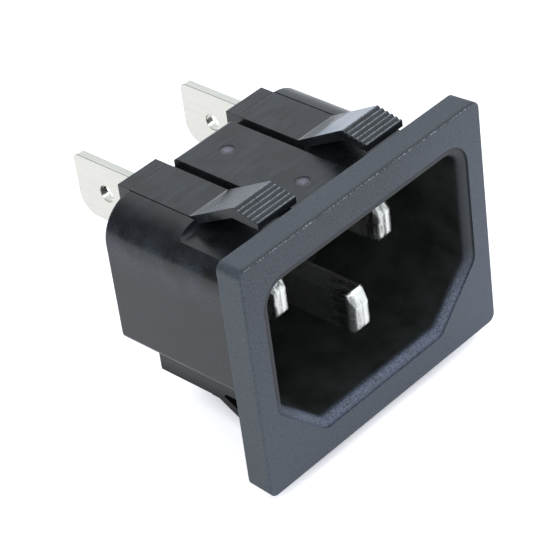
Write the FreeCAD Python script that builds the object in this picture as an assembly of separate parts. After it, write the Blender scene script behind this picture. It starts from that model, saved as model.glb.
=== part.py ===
"""C14 appliance inlet, snap-in panel type, with 6.3 mm rear tabs.  Units: millimetres.

The origin is the centre of the flange's back face, which bears on the panel.
+X runs along the long side, +Y goes through the panel to the rear, +Z is up.
The plug enters from -Y; the keyed (chamfered) corners of the socket are at -Z.
"""
import FreeCAD
import Part
import math
import os

V = FreeCAD.Vector

# flange, in front of the panel; its edges taper a little towards the panel
flange_w = 31.2
flange_h = 24.4
flange_t = 2.86
flange_taper = 0.1
flange_corner_r = 0.85
flange_front_r = 0.18
flange_back_r = 0.15

# socket cavity for the connector, and the lead-in round its mouth
cavity_w = 24.95
cavity_h = 16.85
cavity_depth = 16.0
cavity_top_r = 1.8
cavity_key_leg = 4.7
key_corner_r = 0.8
mouth_margin = 1.0
mouth_key_margin = 0.85
mouth_step = 0.15
mouth_round = 0.7

# body behind the panel
body_w = 26.3
body_top = 9.7
body_bottom = -10.47
body_len = 16.72
body_top_r = 3.75
body_key_leg = 6.42
body_low_edge_r = 0.12
body_rear_r = 0.35

# snap fingers: two on top, two below, moulded in one with the body
finger_x = 7.0
finger_w = 4.8
pocket_len = 8.43
pocket_floor = 8.85
pocket_root_r = 0.5
pocket_inner_x = 3.65
pocket_outer_x = body_w / 2 + 1.0
ramp_start_y = 9.15
ramp_blend_r = 0.5
crest_y = 3.57
crest_z = 12.75
tip_y = 0.76
tip_z = 12.17
tip_under_z = 11.5
crest_under = (3.8, 11.6)
root_under = (pocket_len + 0.4, 8.97)
teeth = 6
tooth_land = 0.19
tooth_depth = 0.17
seam_w = 0.12
seam_depth = 0.14
witness_y = 16.47
witness_w = 0.08
witness_depth = 0.03

# rear bosses that carry the tabs
boss_len = 1.33
boss_wall = 0.85

# ejector-pin marks between the two top fingers
pin_mark_r = 0.75
pin_mark_depth = 0.05
pin_mark_x = 0.0
pin_mark_ys = (13.58, 4.47)

# terminals
blade_w = 2.0
blade_h = 4.0
blade_bevel_x = 0.3
blade_bevel_y = 0.75
blade_top_bevel = (0.9, 1.2)
blade_low_bevel = (0.4, 0.45)
blade_bevel_r = 0.4
fold_seam_w = 0.1
fold_seam_depth = 0.25
line_row_z = 2.43
earth_row_z = -2.2
line_tip_y = 1.75
earth_tip_y = -1.1
shank_y = 14.0
jog_end_y = 15.5
tab_t = 0.8
tab_h = 6.3
tab_end_y = 26.05
line_tab_z = 5.89
earth_tab_z = -5.5
tab_hole_r = 0.85
tab_hole_from_end = 3.75
tab_outer_r = 0.6
tab_inner_r = 2.0

front_y = -flange_t
cavity_floor_y = front_y + cavity_depth
side_x = body_w / 2
body_mid_z = (body_top + body_bottom) / 2


def outline(corners, y):
    """Closed wire in the plane y, through (x, z, radius) corners; radius 0 is sharp."""
    ends = []
    edges = []
    count = len(corners)
    for i in range(count):
        x, z, r = corners[i]
        here = V(x, y, z)
        before = V(corners[i - 1][0], y, corners[i - 1][1]) - here
        after = V(corners[(i + 1) % count][0], y, corners[(i + 1) % count][1]) - here
        before.normalize()
        after.normalize()
        if r == 0:
            ends.append((here, None, here))
            continue
        half = before.getAngle(after) / 2
        middle = before + after
        middle.normalize()
        setback = r / math.tan(half)
        near = r / math.sin(half) - r
        ends.append((here + before * setback, here + middle * near, here + after * setback))
    for i in range(count):
        start, mid, end = ends[i]
        edges.append(Part.LineSegment(ends[i - 1][2], start).toShape())
        if mid is not None:
            edges.append(Part.Arc(start, mid, end).toShape())
    return Part.Wire(edges)


def prism(corners, y0, y1):
    """Solid between the planes y0 and y1 with the given (x, z, radius) outline."""
    return Part.Face(outline(corners, y0)).extrude(V(0, y1 - y0, 0))


def block(x0, x1, y0, y1, z0, z1):
    return Part.makeBox(x1 - x0, y1 - y0, z1 - z0, V(x0, y0, z0))


def keyed(width, height, top_r, key_leg, key_r):
    """Corners of the socket outline: rounded at the top, chamfered at the bottom."""
    a = width / 2
    b = height / 2
    right = [(a - key_leg, -b, key_r), (a, -b + key_leg, key_r), (a, b, top_r)]
    left = [(-x, z, r) for x, z, r in reversed(right)]
    return right + left


def below(shape):
    """Mirror image of a top feature, at the same depth in the body's lower side."""
    return shape.mirror(V(0, 0, body_mid_z), V(0, 0, 1))


def opposite(shape):
    return shape.mirror(V(0, 0, 0), V(1, 0, 0))


def at_each_finger(shape):
    """Copies of a feature of the top right finger at all four fingers."""
    top = [shape, opposite(shape)]
    return top + [below(copy) for copy in top]


def flange_outline(inset, y):
    a = flange_w / 2 - inset
    b = flange_h / 2 - inset
    r = flange_corner_r
    return outline([(a, -b, r), (a, b, r), (-a, b, r), (-a, -b, r)], y)


def flange():
    plate = Part.makeLoft([flange_outline(0, front_y), flange_outline(flange_taper, 0)], True, True)
    front = [e for e in plate.Edges if e.BoundBox.YMax < front_y + 0.01]
    plate = plate.makeFillet(flange_front_r, front)
    back = [e for e in plate.Edges if e.BoundBox.YMin > -0.01]
    return plate.makeFillet(flange_back_r, back)


def body_shell():
    """Body behind the flange: round top corners and keyed bottom corners."""
    a = side_x
    shoulder_x = finger_x + finger_w / 2
    shoulder_z = body_bottom + body_key_leg - (a - shoulder_x)
    right = [
        (shoulder_x, body_bottom, body_low_edge_r),
        (shoulder_x, shoulder_z, 0.3),
        (a, body_bottom + body_key_leg, 0.5),
        (a, body_top, body_top_r),
    ]
    left = [(-x, z, r) for x, z, r in reversed(right)]
    body = prism(right + left, 0, body_len)
    low_rear = [
        e for e in body.Edges
        if e.BoundBox.YMin > body_len - 0.01 and e.BoundBox.ZMax < body_bottom + 0.01
    ]
    return body.makeFillet(body_rear_r, low_rear)


def relief():
    """What is cut away at one top finger: its pocket, its inner slot and its outer seam."""
    inner_x = finger_x - finger_w / 2
    outer_x = finger_x + finger_w / 2
    high = body_top + 1
    pocket = block(pocket_inner_x, pocket_outer_x, -1, pocket_len, pocket_floor, high)
    root = [
        e for e in pocket.Edges
        if e.BoundBox.YMin > pocket_len - 0.01 and e.BoundBox.ZMax < pocket_floor + 0.01
    ]
    pocket = pocket.makeFillet(pocket_root_r, root)
    slot = block(pocket_inner_x, inner_x, 0, body_len, pocket_floor, high)
    seam = block(outer_x, outer_x + seam_w, 0, body_len, body_top - seam_depth, high)
    return pocket.fuse([slot, seam])


def witness_line():
    """Fine line across a finger's land, just in front of the rear boss."""
    half = finger_w / 2
    return block(finger_x - half, finger_x + half, witness_y, witness_y + witness_w,
                 body_top - witness_depth, body_top + 1)


def finger_profile():
    """Side profile (y, z) of a snap finger: land, ramp, toothed front slope and underside."""
    crest = V(0, crest_y, crest_z)
    foot = V(0, ramp_start_y, body_top)
    root = V(0, root_under[0] + 1.2, body_top)
    ramp = crest - foot
    ramp.normalize()
    turn = math.pi - ramp.getAngle(root - foot)
    setback = ramp_blend_r * math.tan(turn / 2)
    blend_in = foot + V(0, setback, 0)
    blend_out = foot + ramp * setback
    rise = ramp_blend_r / math.cos(turn / 2) - ramp_blend_r
    inward = (blend_in - foot) + (blend_out - foot)
    inward.normalize()
    edges = [
        Part.LineSegment(root, blend_in).toShape(),
        Part.Arc(blend_in, foot + inward * rise, blend_out).toShape(),
        Part.LineSegment(blend_out, crest).toShape(),
    ]
    slope = V(0, tip_y, tip_z) - crest
    pitch = (slope.Length - tooth_land) / (teeth - 1)
    slope.normalize()
    into = V(0, -slope.z, slope.y)
    if into.z > 0:
        into = -into
    points = [crest, crest + slope * tooth_land]
    for i in range(1, teeth):
        land = crest + slope * (i * pitch)
        points.append(land - slope * (pitch - tooth_land) * 0.5 + into * tooth_depth)
        points += [land, land + slope * tooth_land]
    points += [
        V(0, tip_y, tip_under_z),
        V(0, *crest_under),
        V(0, *root_under),
        V(0, root_under[0] + 1.2, root_under[1]),
        root,
    ]
    for start, end in zip(points, points[1:]):
        edges.append(Part.LineSegment(start, end).toShape())
    return Part.Wire(edges)


def snap_finger():
    face = Part.Face(finger_profile())
    face.translate(V(finger_x - finger_w / 2, 0, 0))
    return face.extrude(V(finger_w, 0, 0))


def boss(x, tab_z):
    """Rear boss round a tab; it reaches out to the face of the body on the tab's own side."""
    outward = 1 if tab_z > 0 else -1
    near = tab_z - outward * (tab_h / 2 + boss_wall)
    far = body_top if outward > 0 else body_bottom
    half = finger_w / 2
    y0 = body_len - 1
    return block(x - half, x + half, y0, body_len + boss_len, min(near, far), max(near, far))


def pin_marks():
    low = body_top - pin_mark_depth
    return [
        Part.makeCylinder(pin_mark_r, 1, V(pin_mark_x, y, low), V(0, 0, 1)) for y in pin_mark_ys
    ]


def cavity():
    """Connector cavity, with a shallow step round its mouth."""
    inside = keyed(cavity_w, cavity_h, cavity_top_r, cavity_key_leg, key_corner_r)
    mouth_leg = cavity_key_leg + 2 * mouth_margin - mouth_key_margin * math.sqrt(2)
    mouth_r = cavity_top_r + mouth_margin
    mouth = keyed(cavity_w + 2 * mouth_margin, cavity_h + 2 * mouth_margin, mouth_r,
                  mouth_leg, key_corner_r + mouth_margin / 2)
    step = prism(mouth, front_y - 1, front_y + mouth_step)
    return prism(inside, front_y - 1, cavity_floor_y).fuse(step)


def round_mouth(solid):
    """Round the edge where the connector first enters the cavity."""
    step_y = front_y + mouth_step
    reach_x = cavity_w / 2 + 0.01
    edges = []
    for edge in solid.Edges:
        box = edge.BoundBox
        flat = abs(box.YMin - step_y) < 0.01 and abs(box.YMax - step_y) < 0.01
        inside = max(abs(box.XMin), abs(box.XMax)) < reach_x
        if flat and inside and max(abs(box.ZMin), abs(box.ZMax)) < cavity_h / 2 + 0.01:
            edges.append(edge)
    return solid.makeFillet(mouth_round, edges)


def blade(x, z, tip_y):
    """Front pin: strip folded double, its tip bevelled at the sides, the top and the bottom."""
    w = blade_w / 2
    low = z - blade_h / 2
    high = z + blade_h / 2
    tip_w = w - blade_bevel_x
    shoulder_y = tip_y + blade_bevel_y
    plan = [V(x - tip_w, tip_y, low), V(x + tip_w, tip_y, low), V(x + w, shoulder_y, low),
            V(x + w, shank_y, low), V(x - w, shank_y, low), V(x - w, shoulder_y, low)]
    bevelled = Part.Face(Part.makePolygon(plan + [plan[0]])).extrude(V(0, 0, blade_h))
    side = [V(x - w, tip_y, low + blade_low_bevel[1]), V(x - w, tip_y, high - blade_top_bevel[1]),
            V(x - w, tip_y + blade_top_bevel[0], high), V(x - w, shank_y, high),
            V(x - w, shank_y, low), V(x - w, tip_y + blade_low_bevel[0], low)]
    sloped = Part.Face(Part.makePolygon(side + [side[0]])).extrude(V(blade_w, 0, 0))
    top_front = [
        e for e in sloped.Edges
        if e.BoundBox.YMax < tip_y + 0.01 and e.BoundBox.XLength > w and e.BoundBox.ZMin > z
    ]
    seam = block(x - fold_seam_w / 2, x + fold_seam_w / 2, tip_y - 1, tip_y + fold_seam_depth,
                 low, high)
    return sloped.makeFillet(blade_bevel_r, top_front).common(bevelled).cut(seam)


def tab_plate(x, z, outward):
    """Rear 6.3 mm tab with its hole; its outward rear corner is tight, the other well rounded."""
    x0 = x - tab_t / 2
    plate = block(x0, x0 + tab_t, shank_y, tab_end_y, z - tab_h / 2, z + tab_h / 2)
    for radius, side in ((tab_outer_r, outward), (tab_inner_r, -outward)):
        corner = [
            e for e in plate.Edges
            if e.BoundBox.YMin > tab_end_y - 0.01 and e.BoundBox.XLength > tab_t / 2
            and abs(e.BoundBox.Center.z - z - side * tab_h / 2) < 0.01
        ]
        plate = plate.makeFillet(radius, corner)
    axis_start = V(x0 - 1, tab_end_y - tab_hole_from_end, z)
    return plate.cut(Part.makeCylinder(tab_hole_r, tab_t + 2, axis_start, V(1, 0, 0)))


def terminal(x, row_z, tip_y, tab_z):
    """One contact: the front blade, a jog inside the housing's rear wall, and the rear tab."""
    outward = 1 if tab_z > 0 else -1
    z_ends = (row_z - outward * blade_h / 2, tab_z + outward * tab_h / 2)
    jog = block(x - tab_t / 2, x + tab_t / 2, shank_y, jog_end_y, min(z_ends), max(z_ends))
    return blade(x, row_z, tip_y).fuse([jog, tab_plate(x, tab_z, outward)]).removeSplitter()


def housing(terminals):
    bosses = [boss(finger_x, line_tab_z), boss(-finger_x, line_tab_z), boss(0, earth_tab_z)]
    body = body_shell().cut(at_each_finger(relief()))
    solid = body.fuse(at_each_finger(snap_finger()) + bosses + [flange()])
    solid = round_mouth(solid.cut(cavity()).removeSplitter())
    lines = [witness_line(), opposite(witness_line())]
    return solid.cut(terminals + pin_marks() + lines)


terminals = {
    "line_terminal": terminal(-finger_x, line_row_z, line_tip_y, line_tab_z),
    "neutral_terminal": terminal(finger_x, line_row_z, line_tip_y, line_tab_z),
    "earth_terminal": terminal(0, earth_row_z, earth_tip_y, earth_tab_z),
}
parts = dict(terminals)
parts["housing"] = housing(list(terminals.values()))

os.makedirs("parts", exist_ok=True)
for name, shape in parts.items():
    print(name, len(shape.Solids), "solid", shape.isValid(), round(shape.Volume, 1), "mm3")
    shape.exportStep("parts/" + name + ".step")
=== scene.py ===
import bpy
import math
from mathutils import Euler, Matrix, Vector


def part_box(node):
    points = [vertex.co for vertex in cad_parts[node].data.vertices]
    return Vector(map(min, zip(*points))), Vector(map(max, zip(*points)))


# The appliance inlet as it is packed: a moulded housing with its flange and snap fingers,
# and three plated terminals that pass through its rear wall.
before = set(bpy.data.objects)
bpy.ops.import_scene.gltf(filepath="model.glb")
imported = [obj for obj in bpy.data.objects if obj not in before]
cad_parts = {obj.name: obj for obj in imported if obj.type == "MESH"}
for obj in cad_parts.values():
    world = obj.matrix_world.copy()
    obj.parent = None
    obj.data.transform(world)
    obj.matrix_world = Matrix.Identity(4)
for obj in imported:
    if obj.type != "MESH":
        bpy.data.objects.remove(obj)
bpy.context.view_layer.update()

# Camera: a long lens that looks down on the left front corner. The inlet lies a little
# tipped on its lower fingers, so the camera rolls by the same small angle.
mm = 0.001
aim = Vector((-2.124, 6.774, -0.663)) * mm
distance = 220 * mm
heading = math.radians(43.053)
downward = math.radians(36.051)
roll = math.radians(-7.885)
sensor_width = 36
focal_length = 158.09
nearest_seen = 10 * mm
camera_data = bpy.data.cameras.new("camera")
camera_data.sensor_width = sensor_width
camera_data.lens = focal_length
camera_data.clip_start = nearest_seen
camera = bpy.data.objects.new("camera", camera_data)
bpy.context.scene.collection.objects.link(camera)
turn = Euler((math.pi / 2 - downward, 0, -heading)).to_matrix() @ Euler((0, 0, roll)).to_matrix()
camera.matrix_world = turn.to_4x4()
camera.location = aim + turn @ Vector((0, 0, distance))
bpy.context.scene.camera = camera
bpy.context.scene.view_settings.view_transform = "Standard"

# Housing: one injection moulding in black glass-filled nylon. Its flange is spark-eroded to a
# fine matt grain, and the body and the socket are smooth off the tool. It snaps into a panel
# by four toothed fingers moulded on the body.


def linear(code):
    """Linear red, green, blue, alpha of an sRGB hex colour."""
    parts = [int(code[i:i + 2], 16) / 255 for i in (1, 3, 5)]
    return [c / 12.92 if c <= 0.04045 else ((c + 0.055) / 1.055) ** 2.4 for c in parts] + [1.0]


def add_node(tree, kind, settings=None, links=None):
    """Adds a node: settings are its properties or its input values, links feed its inputs."""
    node = tree.nodes.new(kind)
    for name, value in (settings or {}).items():
        if isinstance(name, str) and hasattr(node, name):
            setattr(node, name, value)
        else:
            node.inputs[name].default_value = value
    for name, source in (links or {}).items():
        tree.links.new(source, node.inputs[name])
    return node


def new_material(name):
    """An empty material and its node tree."""
    material = bpy.data.materials.new(name)
    material.use_nodes = True
    material.node_tree.nodes.clear()
    return material, material.node_tree


# The real grain is about 0.05 mm. It is drawn three times coarser, so that it shows.
grain = 0.16 * mm
flow_patch = 2.6 * mm
flow_mark = 0.6 * mm
flow_turn = 0.12
flow_stretch = (0.12, 1.0, 1.0)
scuff = 0.14 * mm
edge_fade = 0.03 * mm
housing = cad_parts["housing"]
housing_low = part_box("housing")[0]
front = housing_low.y

# Moulded black nylon. It gives the eye a near-black that turns slate grey under soft light:
# speckled and matt on the flange, satin and faintly streaked on the body, and almost
# unlit black down in the socket.
material, tree = new_material("moulded_nylon_black")
place = add_node(tree, "ShaderNodeTexCoord").outputs["Object"]
axes = add_node(tree, "ShaderNodeSeparateXYZ", {}, {"Vector": place}).outputs
flat_x = add_node(tree, "ShaderNodeMath", {"operation": "ABSOLUTE"}, {
    0: axes["X"]}).outputs["Value"]
flat_z = add_node(tree, "ShaderNodeMath", {"operation": "ABSOLUTE"}, {
    0: axes["Z"]}).outputs["Value"]

# Where the surface is: on the flange or the body, and on the flange's front face.
on_flange = add_node(tree, "ShaderNodeMapRange", {
    "From Min": -edge_fade, "From Max": edge_fade, "To Min": 1.0, "To Max": 0.0}, {
    "Value": axes["Y"]}).outputs["Result"]
on_body = add_node(tree, "ShaderNodeMath", {"operation": "GREATER_THAN", 1: edge_fade}, {
    0: axes["Y"]}).outputs["Value"]
on_face = add_node(tree, "ShaderNodeMapRange", {
    "From Min": front + edge_fade, "From Max": front + 3 * edge_fade,
    "To Min": 1.0, "To Max": 0.0}, {"Value": axes["Y"]}).outputs["Result"]

# The lip round the mouth.
socket_half_width = 12.475 * mm
socket_half_height = 8.425 * mm
lip_width = 1.04 * mm
lip_depth = 2 * mm
lip_x = add_node(tree, "ShaderNodeMath", {
    "operation": "LESS_THAN", 1: socket_half_width + lip_width}, {0: flat_x}).outputs["Value"]
lip_y = add_node(tree, "ShaderNodeMath", {
    "operation": "LESS_THAN", 1: front + lip_depth}, {0: axes["Y"]}).outputs["Value"]
lip_z = add_node(tree, "ShaderNodeMath", {
    "operation": "LESS_THAN", 1: socket_half_height + lip_width}, {0: flat_z}).outputs["Value"]
on_lip = lip_x
for limit in (lip_z, lip_y):
    on_lip = add_node(tree, "ShaderNodeMath", {"operation": "MULTIPLY"}, {
        0: on_lip, 1: limit}).outputs["Value"]

# Inside the socket, whose keyed lower corners are cut off: there x and z together reach less
# far than in the square upper ones.
socket_floor = front + 16 * mm
keyed_reach = 16.8 * mm
square_reach = 20.2 * mm
socket_start = front + 0.45 * mm
socket_full = front + 1.1 * mm
inside_x = add_node(tree, "ShaderNodeMath", {
    "operation": "LESS_THAN", 1: socket_half_width + edge_fade}, {0: flat_x}).outputs["Value"]
inside_y = add_node(tree, "ShaderNodeMath", {
    "operation": "LESS_THAN", 1: socket_floor + edge_fade}, {0: axes["Y"]}).outputs["Value"]
inside_z = add_node(tree, "ShaderNodeMath", {
    "operation": "LESS_THAN", 1: socket_half_height + edge_fade}, {0: flat_z}).outputs["Value"]
reach = add_node(tree, "ShaderNodeMath", {"operation": "ADD"}, {
    0: flat_x, 1: flat_z}).outputs["Value"]
corner_reach = add_node(tree, "ShaderNodeMapRange", {
    "From Min": -0.1 * mm, "From Max": 0.1 * mm, "To Min": keyed_reach, "To Max": square_reach}, {
    "Value": axes["Z"]}).outputs["Result"]
inside_corner = add_node(tree, "ShaderNodeMath", {"operation": "LESS_THAN"}, {
    0: reach, 1: corner_reach}).outputs["Value"]
past_lip = add_node(tree, "ShaderNodeMapRange", {
    "From Min": socket_start, "From Max": socket_full}, {"Value": axes["Y"]}).outputs["Result"]
in_socket = inside_x
for limit in (inside_z, inside_corner, inside_y, past_lip):
    in_socket = add_node(tree, "ShaderNodeMath", {"operation": "MULTIPLY"}, {
        0: in_socket, 1: limit}).outputs["Value"]
outside = add_node(tree, "ShaderNodeMath", {"operation": "SUBTRACT", 0: 1.0}, {
    1: in_socket}).outputs["Value"]

# Patterns: the eroded grain, slow patches, flow marks drawn out across the body, scuffs.
grain_noise = add_node(tree, "ShaderNodeTexNoise", {
    "Scale": 1 / grain, "Detail": 2.0, "Roughness": 0.6}, {"Vector": place}).outputs["Fac"]
grain_tone = add_node(tree, "ShaderNodeMapRange", {"From Min": 0.3, "From Max": 0.7}, {
    "Value": grain_noise}).outputs["Result"]
patch_noise = add_node(tree, "ShaderNodeTexNoise", {
    "Scale": 1 / flow_patch, "Detail": 4.0, "Roughness": 0.6}, {"Vector": place}).outputs["Fac"]
patch_tone = add_node(tree, "ShaderNodeMapRange", {"From Min": 0.35, "From Max": 0.65}, {
    "Value": patch_noise}).outputs["Result"]
drawn = add_node(tree, "ShaderNodeMapping", {
    "Rotation": (0.0, 0.0, flow_turn), "Scale": flow_stretch}, {
    "Vector": place}).outputs["Vector"]
mark_noise = add_node(tree, "ShaderNodeTexNoise", {
    "Scale": 1 / flow_mark, "Detail": 4.0, "Roughness": 0.6}, {"Vector": drawn}).outputs["Fac"]
scuff_noise = add_node(tree, "ShaderNodeTexNoise", {
    "Scale": 1 / scuff, "Detail": 2.0, "Roughness": 0.6}, {"Vector": place}).outputs["Fac"]

# Colours of the body, the flange and the socket, and of the body's low part, which is painted
# darker as shade because it faces the inlet's own shadow.
low_part = (-8.6 * mm, -10.4 * mm)
body_colour = add_node(tree, "ShaderNodeMix", {
    "data_type": "RGBA", "A": linear("#1d1f20"), "B": linear("#2a2d31")}, {
    "Factor": patch_tone}).outputs["Result"]
low_shade_colour = add_node(tree, "ShaderNodeMix", {
    "data_type": "RGBA", "A": linear("#080708"), "B": linear("#100e11")}, {
    "Factor": patch_tone}).outputs["Result"]
low_down = add_node(tree, "ShaderNodeMapRange", {
    "From Min": low_part[0], "From Max": low_part[1]}, {"Value": axes["Z"]}).outputs["Result"]
flange_colour = add_node(tree, "ShaderNodeMix", {
    "data_type": "RGBA", "A": linear("#3a4047"), "B": linear("#555b63")}, {
    "Factor": grain_tone}).outputs["Result"]
# The socket's olive tint is painted shade: it stands for the colour the light takes down in the
# socket.
socket_shade_tint = add_node(tree, "ShaderNodeMix", {
    "data_type": "RGBA", "A": linear("#1b1d1a"), "B": linear("#303331")}, {
    "Factor": patch_tone}).outputs["Result"]

# Painted light: the lip is painted pale where it slopes up to the light at the bottom, and dark as
# painted shade above.
lip_light_span = (-2.5 * mm, -6.5 * mm)
lip_shade = add_node(tree, "ShaderNodeMix", {
    "data_type": "RGBA", "A": linear("#15181b"), "B": linear("#2b3036")}, {
    "Factor": grain_tone}).outputs["Result"]
lip_lit = add_node(tree, "ShaderNodeMix", {
    "data_type": "RGBA", "A": linear("#2c313c"), "B": linear("#727b90")}, {
    "Factor": grain_tone}).outputs["Result"]
lip_lit_weight = add_node(tree, "ShaderNodeMapRange", {
    "From Min": lip_light_span[0], "From Max": lip_light_span[1]}, {"Value": axes["Z"]}).outputs["Result"]
lip_colour = add_node(tree, "ShaderNodeMix", {"data_type": "RGBA"}, {
    "Factor": lip_lit_weight, "A": lip_shade, "B": lip_lit}).outputs["Result"]

# Painted reflection of the white card: the front face grows a little paler downwards and to the
# right, under its grain.
face_half_height = 12 * mm
face_lit_side = (3 * mm, 13 * mm)
face_light_down = add_node(tree, "ShaderNodeMapRange", {
    "From Min": face_half_height, "From Max": -face_half_height,
    "To Min": -0.05, "To Max": 0.36}, {
    "Value": axes["Z"]}).outputs["Result"]
face_light_right = add_node(tree, "ShaderNodeMapRange", {
    "From Min": face_lit_side[0], "From Max": face_lit_side[1], "To Max": 0.32}, {
    "Value": axes["X"]}).outputs["Result"]
face_painted_light = add_node(tree, "ShaderNodeMath", {"operation": "ADD"}, {
    0: face_light_down, 1: face_light_right}).outputs["Value"]
face_grain_and_light = add_node(tree, "ShaderNodeMath", {"operation": "MULTIPLY_ADD", 1: 0.8}, {
    0: grain_tone, 2: face_painted_light}).outputs["Value"]
face_colour = add_node(tree, "ShaderNodeMix", {
    "data_type": "RGBA", "A": linear("#2b3036"), "B": linear("#555b66")}, {
    "Factor": face_grain_and_light}).outputs["Result"]

# Each colour is laid over the ones before it.
colour = body_colour
for layer, where in ((low_shade_colour, low_down), (flange_colour, on_flange), (lip_colour, on_lip),
                     (face_colour, on_face), (socket_shade_tint, in_socket)):
    colour = add_node(tree, "ShaderNodeMix", {"data_type": "RGBA"}, {
        "Factor": where, "A": colour, "B": layer}).outputs["Result"]

# Flow marks: paler bands, soft and broken, on the smooth top of the body only.
body_top = 9.7 * mm
top_fade = 0.3 * mm
on_top = add_node(tree, "ShaderNodeMapRange", {
    "From Min": body_top - top_fade, "From Max": body_top}, {
    "Value": axes["Z"]}).outputs["Result"]
marks = add_node(tree, "ShaderNodeMapRange", {
    "From Min": 0.5, "From Max": 0.8, "To Max": 0.22}, {
    "Value": mark_noise}).outputs["Result"]
for where in (on_top, on_body):
    marks = add_node(tree, "ShaderNodeMath", {"operation": "MULTIPLY"}, {
        0: marks, 1: where}).outputs["Value"]
colour = add_node(tree, "ShaderNodeMix", {"data_type": "RGBA", "B": linear("#6b717a")}, {
    "Factor": marks, "A": colour}).outputs["Result"]

# Rounded upper corners: a mottled bloom of fine pale specks where the tool is worn.
bloom_foot = (3.4 * mm, 5.4 * mm)
bloom_head = (7.2 * mm, 8.6 * mm)
bloom_low = add_node(tree, "ShaderNodeMapRange", {
    "From Min": bloom_foot[0], "From Max": bloom_foot[1]}, {
    "Value": axes["Z"]}).outputs["Result"]
bloom_high = add_node(tree, "ShaderNodeMapRange", {
    "From Min": bloom_head[0], "From Max": bloom_head[1], "To Min": 1.0, "To Max": 0.0}, {
    "Value": axes["Z"]}).outputs["Result"]
bloom = add_node(tree, "ShaderNodeMapRange", {
    "From Min": 0.48, "From Max": 0.64, "To Max": 0.65}, {
    "Value": scuff_noise}).outputs["Result"]
for where in (bloom_low, bloom_high, on_body, patch_tone, outside):
    bloom = add_node(tree, "ShaderNodeMath", {"operation": "MULTIPLY"}, {
        0: bloom, 1: where}).outputs["Value"]
colour = add_node(tree, "ShaderNodeMix", {"data_type": "RGBA", "B": linear("#5f6478")}, {
    "Factor": bloom, "A": colour}).outputs["Result"]

# Across the width of a snap finger, short of its side faces, which get no painted highlight.
finger_middle = 7 * mm
finger_half_width = 2.4 * mm
finger_crest = 3.57 * mm
off_middle = add_node(tree, "ShaderNodeMath", {"operation": "SUBTRACT", 1: finger_middle}, {
    0: flat_x}).outputs["Value"]
off_middle = add_node(tree, "ShaderNodeMath", {"operation": "ABSOLUTE"}, {
    0: off_middle}).outputs["Value"]
off_side = add_node(tree, "ShaderNodeMath", {
    "operation": "LESS_THAN", 1: finger_half_width - edge_fade}, {
    0: off_middle}).outputs["Value"]

# Teeth: a painted highlight along the crests across each finger's front, broken up in patches.
tooth_pitch = 0.525 * mm
teeth_height = 11.7 * mm
tooth = add_node(tree, "ShaderNodeMath", {"operation": "SUBTRACT", 0: finger_crest}, {
    1: axes["Y"]}).outputs["Value"]
tooth = add_node(tree, "ShaderNodeMath", {"operation": "DIVIDE", 1: tooth_pitch}, {
    0: tooth}).outputs["Value"]
along_tooth = add_node(tree, "ShaderNodeMath", {"operation": "FRACT"}, {
    0: tooth}).outputs["Value"]
crest_highlight = add_node(tree, "ShaderNodeMapRange", {
    "From Min": 0.1, "From Max": 0.28, "To Min": 0.9, "To Max": 0.0}, {
    "Value": along_tooth}).outputs["Result"]
on_teeth = add_node(tree, "ShaderNodeMath", {
    "operation": "LESS_THAN", 1: finger_crest + edge_fade}, {0: axes["Y"]}).outputs["Value"]
high_up = add_node(tree, "ShaderNodeMath", {"operation": "GREATER_THAN", 1: teeth_height}, {
    0: flat_z}).outputs["Value"]
crest_highlight_breakup = add_node(tree, "ShaderNodeMapRange", {
    "From Min": 0.4, "From Max": 0.62, "To Min": 0.2}, {
    "Value": scuff_noise}).outputs["Result"]
for where in (on_teeth, on_body, high_up, off_side, crest_highlight_breakup):
    crest_highlight = add_node(tree, "ShaderNodeMath", {"operation": "MULTIPLY"}, {
        0: crest_highlight, 1: where}).outputs["Value"]
colour = add_node(tree, "ShaderNodeMix", {"data_type": "RGBA", "B": linear("#b4bec9")}, {
    "Factor": crest_highlight, "A": colour}).outputs["Result"]

# Ramps: a painted highlight on their higher halves, brighter on the right one than on the left
# one, with a ragged lower edge.
ramp_foot = 10.2 * mm
ramp_highlight_ragged = 1.6 * mm
ramp_highlight_full = 7.7 * mm
ramp_highlight_end = 8.3 * mm
ramp_highlight_sides = (-4 * mm, 4 * mm)
ramp_highlight_edge = add_node(tree, "ShaderNodeMath", {"operation": "MULTIPLY_ADD", 1: ramp_highlight_ragged}, {
    0: patch_noise, 2: axes["Y"]}).outputs["Value"]
ramp_highlight = add_node(tree, "ShaderNodeMapRange", {
    "From Min": ramp_highlight_full, "From Max": ramp_highlight_end, "To Min": 1.0, "To Max": 0.0}, {
    "Value": ramp_highlight_edge}).outputs["Result"]
ramp_highlight_side = add_node(tree, "ShaderNodeMapRange", {
    "From Min": ramp_highlight_sides[0], "From Max": ramp_highlight_sides[1], "To Min": 0.12, "To Max": 0.55}, {
    "Value": axes["X"]}).outputs["Result"]
ramp_highlight_high = add_node(tree, "ShaderNodeMath", {"operation": "GREATER_THAN", 1: ramp_foot}, {
    0: axes["Z"]}).outputs["Value"]
ramp_highlight_behind = add_node(tree, "ShaderNodeMath", {"operation": "GREATER_THAN", 1: finger_crest}, {
    0: axes["Y"]}).outputs["Value"]
for where in (ramp_highlight_side, ramp_highlight_high, ramp_highlight_behind, off_side):
    ramp_highlight = add_node(tree, "ShaderNodeMath", {"operation": "MULTIPLY"}, {
        0: ramp_highlight, 1: where}).outputs["Value"]
colour = add_node(tree, "ShaderNodeMix", {"data_type": "RGBA", "B": linear("#bac4d8")}, {
    "Factor": ramp_highlight, "A": colour}).outputs["Result"]

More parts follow.
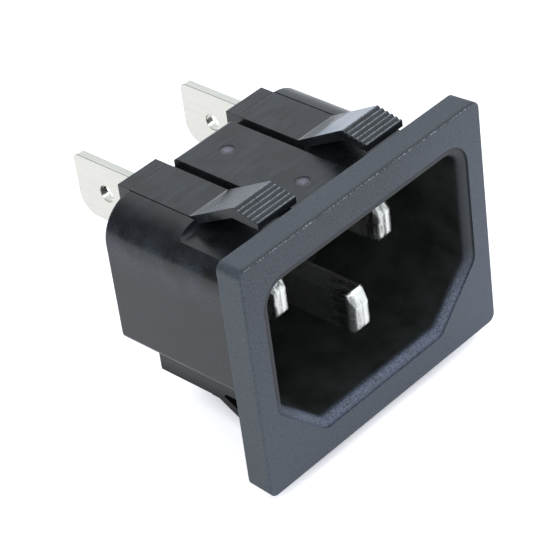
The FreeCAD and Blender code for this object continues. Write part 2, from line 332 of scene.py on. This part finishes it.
# Ejector-pin marks: a bruised, paler disc with a darker ring, not quite round.
pin_marks = [(0, 13.58 * mm, body_top), (0, 4.47 * mm, body_top)]
pin_wobble = 1.3 * mm
pin_disc = (0.85 * mm, 1.3 * mm)
pin_ring = (1.3 * mm, 1.65 * mm)
near_one, near_two = [
    add_node(tree, "ShaderNodeVectorMath", {"operation": "DISTANCE", 1: centre}, {
        0: place}).outputs["Value"] for centre in pin_marks]
nearest = add_node(tree, "ShaderNodeMath", {"operation": "MINIMUM"}, {
    0: near_one, 1: near_two}).outputs["Value"]
wobble = add_node(tree, "ShaderNodeMath", {"operation": "MULTIPLY_ADD", 1: pin_wobble}, {
    0: scuff_noise, 2: nearest}).outputs["Value"]
disc = add_node(tree, "ShaderNodeMapRange", {
    "From Min": pin_disc[0], "From Max": pin_disc[1], "To Min": 0.75, "To Max": 0.0}, {
    "Value": wobble}).outputs["Result"]
ring = add_node(tree, "ShaderNodeMapRange", {
    "From Min": pin_ring[0], "From Max": pin_ring[1], "To Min": 0.7, "To Max": 0.0}, {
    "Value": wobble}).outputs["Result"]
for where, code in ((ring, "#1b1c24"), (disc, "#8a8799")):
    colour = add_node(tree, "ShaderNodeMix", {"data_type": "RGBA", "B": linear(code)}, {
        "Factor": where, "A": colour}).outputs["Result"]

# Flange's top front edge: tiny bright specks painted as a glint along the edge, broken up in
# patches, and a darker line just behind them.
flange_top = (12.04 * mm, 12.12 * mm)
edge_glint_depth = (0.04 * mm, 0.1 * mm)
dark_edge_line_depth = (0.22 * mm, 0.5 * mm)
edge_high = add_node(tree, "ShaderNodeMapRange", {
    "From Min": flange_top[0], "From Max": flange_top[1]}, {
    "Value": axes["Z"]}).outputs["Result"]
edge_front = add_node(tree, "ShaderNodeMapRange", {
    "From Min": front + edge_glint_depth[0], "From Max": front + edge_glint_depth[1],
    "To Min": 1.0, "To Max": 0.0}, {
    "Value": axes["Y"]}).outputs["Result"]
on_edge = add_node(tree, "ShaderNodeMath", {"operation": "MULTIPLY"}, {
    0: edge_high, 1: edge_front}).outputs["Value"]
dark_edge_line = add_node(tree, "ShaderNodeMapRange", {
    "From Min": front + dark_edge_line_depth[0], "From Max": front + dark_edge_line_depth[1],
    "To Min": 0.6, "To Max": 0.0}, {
    "Value": axes["Y"]}).outputs["Result"]
dark_edge_line = add_node(tree, "ShaderNodeMath", {"operation": "MULTIPLY"}, {
    0: dark_edge_line, 1: edge_high}).outputs["Value"]
edge_glint = add_node(tree, "ShaderNodeMapRange", {
    "From Min": 0.47, "From Max": 0.66, "To Min": 0.06, "To Max": 0.95}, {
    "Value": grain_noise}).outputs["Result"]
edge_glint_breakup = add_node(tree, "ShaderNodeMapRange", {
    "From Min": 0.38, "From Max": 0.6, "To Min": 0.3}, {
    "Value": patch_noise}).outputs["Result"]
for where in (on_edge, edge_glint_breakup):
    edge_glint = add_node(tree, "ShaderNodeMath", {"operation": "MULTIPLY"}, {
        0: edge_glint, 1: where}).outputs["Value"]
for where, code in ((dark_edge_line, "#1a1c20"), (edge_glint, "#d4d8e2")):
    colour = add_node(tree, "ShaderNodeMix", {"data_type": "RGBA", "B": linear(code)}, {
        "Factor": where, "A": colour}).outputs["Result"]

# Finish: smooth body and socket, matt flange and low part, and the grain as a shallow bump.
# Edges are softened as moulded ones are, all but the low ones, which are left sharp.
grain_depth = 0.03 * mm
soft_edge = 0.08 * mm
sharp_edge = 0.01 * mm
edge_change = (-3.4 * mm, -4.4 * mm)
roughness = add_node(tree, "ShaderNodeMapRange", {"To Min": 0.22, "To Max": 0.34}, {
    "Value": patch_tone}).outputs["Result"]
for where, rough in ((low_down, 0.6), (on_flange, 0.5), (in_socket, 0.45)):
    roughness = add_node(tree, "ShaderNodeMix", {"data_type": "FLOAT", "B": rough}, {
        "Factor": where, "A": roughness}).outputs["Result"]
grain_strength = add_node(tree, "ShaderNodeMapRange", {"To Min": 0.12, "To Max": 0.8}, {
    "Value": on_flange}).outputs["Result"]
edge_round = add_node(tree, "ShaderNodeMapRange", {
    "From Min": edge_change[0], "From Max": edge_change[1],
    "To Min": soft_edge, "To Max": sharp_edge}, {
    "Value": axes["Z"]}).outputs["Result"]
edge = add_node(tree, "ShaderNodeBevel", {"samples": 6}, {"Radius": edge_round}).outputs["Normal"]
surface = add_node(tree, "ShaderNodeBump", {"Distance": grain_depth}, {
    "Height": grain_noise, "Strength": grain_strength, "Normal": edge}).outputs["Normal"]
shader = add_node(tree, "ShaderNodeBsdfPrincipled", {"IOR": 1.53}, {
    "Base Color": colour, "Roughness": roughness, "Normal": surface}).outputs["BSDF"]
add_node(tree, "ShaderNodeOutputMaterial", {}, {"Surface": shader})
housing.data.materials.clear()
housing.data.materials.append(material)

# Terminals: stamped brass strip with a bright nickel plate, folded double to 2 mm at the
# blades, whose tips are coined, and single, 0.8 mm, at the tabs. Each is moulded into the
# rear wall.
draw_mark = 0.5 * mm
draw_stretch = (1.0, 0.12, 1.0)
coin_mark = 0.45 * mm
coin_stretch = (1.0, 1.0, 0.25)
tab_start = 16.5 * mm
earth_tip = -1.1 * mm
live_tip = 1.75 * mm
blade_spacing = 7 * mm
earth_side = (3.9 * mm, 4 * mm)

# Nickel-plated brass. It gives the eye a warm silver-white: clean on the tabs, streaked from
# top to bottom on the coined tips, and dark where the blades run back into the socket.
material, tree = new_material("nickel_plated_brass")
place = add_node(tree, "ShaderNodeTexCoord").outputs["Object"]
axes = add_node(tree, "ShaderNodeSeparateXYZ", {}, {"Vector": place}).outputs
on_blade = add_node(tree, "ShaderNodeMapRange", {
    "From Min": tab_start - 0.5 * mm, "From Max": tab_start, "To Min": 1.0, "To Max": 0.0}, {
    "Value": axes["Y"]}).outputs["Result"]
stretched = add_node(tree, "ShaderNodeMapping", {"Scale": draw_stretch}, {
    "Vector": place}).outputs["Vector"]
mark_noise = add_node(tree, "ShaderNodeTexNoise", {"Scale": 1 / draw_mark, "Detail": 3.0}, {
    "Vector": stretched}).outputs["Fac"]
upright = add_node(tree, "ShaderNodeMapping", {"Scale": coin_stretch}, {
    "Vector": place}).outputs["Vector"]
coin_noise = add_node(tree, "ShaderNodeTexNoise", {
    "Scale": 1 / coin_mark, "Detail": 3.0, "Roughness": 0.6}, {
    "Vector": upright}).outputs["Fac"]
tab_colour = add_node(tree, "ShaderNodeMix", {
    "data_type": "RGBA", "A": linear("#d9d6cc"), "B": linear("#eae8df")}, {
    "Factor": mark_noise}).outputs["Result"]
blade_colour = add_node(tree, "ShaderNodeMix", {
    "data_type": "RGBA", "A": linear("#e9e9df"), "B": linear("#ffffff")}, {
    "Factor": coin_noise}).outputs["Result"]
plate_colour = add_node(tree, "ShaderNodeMix", {"data_type": "RGBA"}, {
    "Factor": on_blade, "A": tab_colour, "B": blade_colour}).outputs["Result"]

# The blades carry a painted dark reflection down one fold near the tip, the earth one less, and
# the two live ones on their top bevel too.
dark_reflection_fold = (-0.5 * mm, -0.2 * mm)
dark_reflection_bevel = (3.3 * mm, 3.6 * mm)
dark_reflection_length = (1.0 * mm, 2.6 * mm)
across = add_node(tree, "ShaderNodeMath", {
    "operation": "WRAP", 1: blade_spacing / 2, 2: -blade_spacing / 2}, {
    0: axes["X"]}).outputs["Value"]
fold_dark_reflection = add_node(tree, "ShaderNodeMapRange", {
    "From Min": dark_reflection_fold[0], "From Max": dark_reflection_fold[1], "To Min": 0.85, "To Max": 0.0}, {
    "Value": across}).outputs["Result"]
bevel_dark_reflection = add_node(tree, "ShaderNodeMapRange", {
    "From Min": dark_reflection_bevel[0], "From Max": dark_reflection_bevel[1], "To Max": 0.9}, {
    "Value": axes["Z"]}).outputs["Result"]
dark_reflection = add_node(tree, "ShaderNodeMath", {"operation": "MAXIMUM"}, {
    0: fold_dark_reflection, 1: bevel_dark_reflection}).outputs["Value"]
flat_x = add_node(tree, "ShaderNodeMath", {"operation": "ABSOLUTE"}, {
    0: axes["X"]}).outputs["Value"]
live, tip = [
    add_node(tree, "ShaderNodeMapRange", {
        "From Min": earth_side[0], "From Max": earth_side[1],
        "To Min": at_earth, "To Max": at_live}, {
        "Value": flat_x}).outputs["Result"]
    for at_earth, at_live in ((0.75, 1.0), (earth_tip, live_tip))]
behind_tip = add_node(tree, "ShaderNodeMath", {"operation": "SUBTRACT"}, {
    0: axes["Y"], 1: tip}).outputs["Value"]
near_tip = add_node(tree, "ShaderNodeMapRange", {
    "From Min": dark_reflection_length[0], "From Max": dark_reflection_length[1], "To Min": 1.0, "To Max": 0.0}, {
    "Value": behind_tip}).outputs["Result"]
streak = add_node(tree, "ShaderNodeMapRange", {
    "From Min": 0.42, "From Max": 0.56, "To Min": 1.0, "To Max": 0.3}, {
    "Value": coin_noise}).outputs["Result"]
for where in (live, near_tip, streak):
    dark_reflection = add_node(tree, "ShaderNodeMath", {"operation": "MULTIPLY"}, {
        0: dark_reflection, 1: where}).outputs["Value"]
plate_colour = add_node(tree, "ShaderNodeMix", {"data_type": "RGBA", "B": linear("#4c4b49")}, {
    "Factor": dark_reflection, "A": plate_colour}).outputs["Result"]

# The fold at the earth blade's tip is coined matt, so it scatters light where the rest
# mirrors it.
matt_fold = (-0.7 * mm, -0.35 * mm)
matt_end = (-0.3 * mm, 0.1 * mm)
fold_matt = add_node(tree, "ShaderNodeMapRange", {
    "From Min": matt_fold[0], "From Max": matt_fold[1], "To Min": 0.25, "To Max": 0.0}, {
    "Value": across}).outputs["Result"]
at_tip = add_node(tree, "ShaderNodeMapRange", {
    "From Min": matt_end[0], "From Max": matt_end[1], "To Min": 1.0, "To Max": 0.0}, {
    "Value": axes["Y"]}).outputs["Result"]
for where in (at_tip, streak):
    fold_matt = add_node(tree, "ShaderNodeMath", {"operation": "MULTIPLY"}, {
        0: fold_matt, 1: where}).outputs["Value"]
metallic = add_node(tree, "ShaderNodeMath", {"operation": "SUBTRACT", 0: 1.0}, {
    1: fold_matt}).outputs["Value"]

# The tips and tabs are bright, and the shank between them is duller. Marks from drawing and
# coining are shallow bumps, and the blades' folds are rounder than the tabs' cut edges.
shank_start = 0.0
shank_full = 4.0 * mm
draw_depth = 0.01 * mm
coin_depth = 0.06 * mm
cut_edge = 0.14 * mm
folded_edge = 0.55 * mm
roughness = add_node(tree, "ShaderNodeMapRange", {
    "From Min": 0.3, "From Max": 0.7, "To Min": 0.14, "To Max": 0.3}, {
    "Value": mark_noise}).outputs["Result"]
on_shank = add_node(tree, "ShaderNodeMapRange", {
    "From Min": shank_start, "From Max": shank_full}, {"Value": axes["Y"]}).outputs["Result"]
on_shank = add_node(tree, "ShaderNodeMath", {"operation": "MULTIPLY"}, {
    0: on_shank, 1: on_blade}).outputs["Value"]
roughness = add_node(tree, "ShaderNodeMix", {"data_type": "FLOAT", "B": 0.34}, {
    "Factor": on_shank, "A": roughness}).outputs["Result"]
coin_strength = add_node(tree, "ShaderNodeMapRange", {"To Min": 0.05, "To Max": 0.28}, {
    "Value": on_blade}).outputs["Result"]
edge_round = add_node(tree, "ShaderNodeMapRange", {"To Min": cut_edge, "To Max": folded_edge}, {
    "Value": on_blade}).outputs["Result"]
edge = add_node(tree, "ShaderNodeBevel", {"samples": 12}, {"Radius": edge_round}).outputs["Normal"]
surface = add_node(tree, "ShaderNodeBump", {"Distance": draw_depth, "Strength": 0.08}, {
    "Height": mark_noise, "Normal": edge}).outputs["Normal"]
surface = add_node(tree, "ShaderNodeBump", {"Distance": coin_depth}, {
    "Height": coin_noise, "Strength": coin_strength, "Normal": surface}).outputs["Normal"]
shader = add_node(tree, "ShaderNodeBsdfPrincipled", {}, {
    "Base Color": plate_colour, "Metallic": metallic, "Roughness": roughness,
    "Normal": surface}).outputs["BSDF"]
add_node(tree, "ShaderNodeOutputMaterial", {}, {"Surface": shader})
for name in ("line_terminal", "neutral_terminal", "earth_terminal"):
    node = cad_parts[name]
    node.data.materials.clear()
    node.data.materials.append(material)

# Floor: a large sheet of plain white card, which the inlet stands on and which runs on
# behind it.
floor_size = 0.34
floor_gap = 0.02 * mm
shadow_reach = 6 * mm
bpy.ops.mesh.primitive_plane_add(size=floor_size, location=(0, 0, housing_low.z - floor_gap))
floor = bpy.context.object
floor.name = "floor"

# Uncoated white card. It gives the eye an even white with a small soft shadow close to the
# inlet: it is lifted for the camera, and less so for reflections, except near the inlet.
material, tree = new_material("white_card")
light_path = add_node(tree, "ShaderNodeLightPath").outputs
open_sky = add_node(tree, "ShaderNodeAmbientOcclusion", {
    "samples": 16, "Distance": shadow_reach}).outputs["AO"]
lift = add_node(tree, "ShaderNodeMapRange", {
    "From Min": 0.1, "From Max": 0.5, "To Min": 0.1, "To Max": 0.75}, {
    "Value": open_sky}).outputs["Result"]
mirrored = add_node(tree, "ShaderNodeMapRange", {
    "From Min": 0.2, "From Max": 0.95, "To Max": 0.42}, {"Value": open_sky}).outputs["Result"]
mirrored = add_node(tree, "ShaderNodeMath", {"operation": "MULTIPLY"}, {
    0: light_path["Is Glossy Ray"], 1: mirrored}).outputs["Value"]
seen = add_node(tree, "ShaderNodeMix", {"data_type": "FLOAT"}, {
    "Factor": light_path["Is Camera Ray"], "A": mirrored, "B": lift}).outputs["Result"]
card = add_node(tree, "ShaderNodeBsdfDiffuse", {"Color": linear("#f6f6f6")}).outputs["BSDF"]
glow = add_node(tree, "ShaderNodeEmission", {"Color": linear("#fbfaff")}, {
    "Strength": seen}).outputs["Emission"]
shader = add_node(tree, "ShaderNodeAddShader", {}, {0: card, 1: glow}).outputs["Shader"]
add_node(tree, "ShaderNodeOutputMaterial", {}, {"Surface": shader})
floor.data.materials.append(material)

# Studio light: a white room with one unlit corner, high behind on the left, and three soft
# boxes: in front on the left, in front on the right, and low behind on the right.
unlit_corner = (-0.70, 0.57, 0.42)
world = bpy.data.worlds.new("white_room")
bpy.context.scene.world = world
world.use_nodes = True
tree = world.node_tree
tree.nodes.clear()
light_path = add_node(tree, "ShaderNodeLightPath").outputs
toward = add_node(tree, "ShaderNodeTexCoord").outputs["Generated"]
facing = add_node(tree, "ShaderNodeVectorMath", {"operation": "DOT_PRODUCT", 1: unlit_corner}, {
    0: toward}).outputs["Value"]
corner = add_node(tree, "ShaderNodeMapRange", {
    "From Min": 0.55, "From Max": 0.93, "To Min": 1.0, "To Max": 0.12}, {
    "Value": facing}).outputs["Result"]
ambient = add_node(tree, "ShaderNodeMix", {"data_type": "FLOAT", "A": 0.75}, {
    "Factor": light_path["Is Glossy Ray"], "B": corner}).outputs["Result"]
strength = add_node(tree, "ShaderNodeMix", {"data_type": "FLOAT", "B": 1.0}, {
    "Factor": light_path["Is Camera Ray"], "A": ambient}).outputs["Result"]
colour = add_node(tree, "ShaderNodeMix", {
    "data_type": "RGBA", "A": linear("#f2f9ff"), "B": linear("#ffffff")}, {
    "Factor": light_path["Is Camera Ray"]}).outputs["Result"]
room = add_node(tree, "ShaderNodeBackground", {}, {
    "Color": colour, "Strength": strength}).outputs["Background"]
add_node(tree, "ShaderNodeOutputWorld", {}, {"Surface": room})
for name, place, size, radiance in (
        ("soft_box_left", (-0.30, -0.50, 0.35), 0.5, 0.6),
        ("soft_box_right", (0.385, -0.406, 0.413), 0.16, 6.0),
        ("soft_box_low", (0.46, 0.66, 0.12), 0.24, 1.5)):
    lamp = bpy.data.lights.new(name, "AREA")
    lamp.shape = "SQUARE"
    lamp.size = size
    lamp.color = linear("#f0f5ff")[:3]
    lamp.energy = radiance * math.pi * size * size
    box = bpy.data.objects.new(name, lamp)
    bpy.context.scene.collection.objects.link(box)
    box.location = place
    box.rotation_euler = (-Vector(place)).to_track_quat("-Z", "Y").to_euler()
    box.visible_camera = False
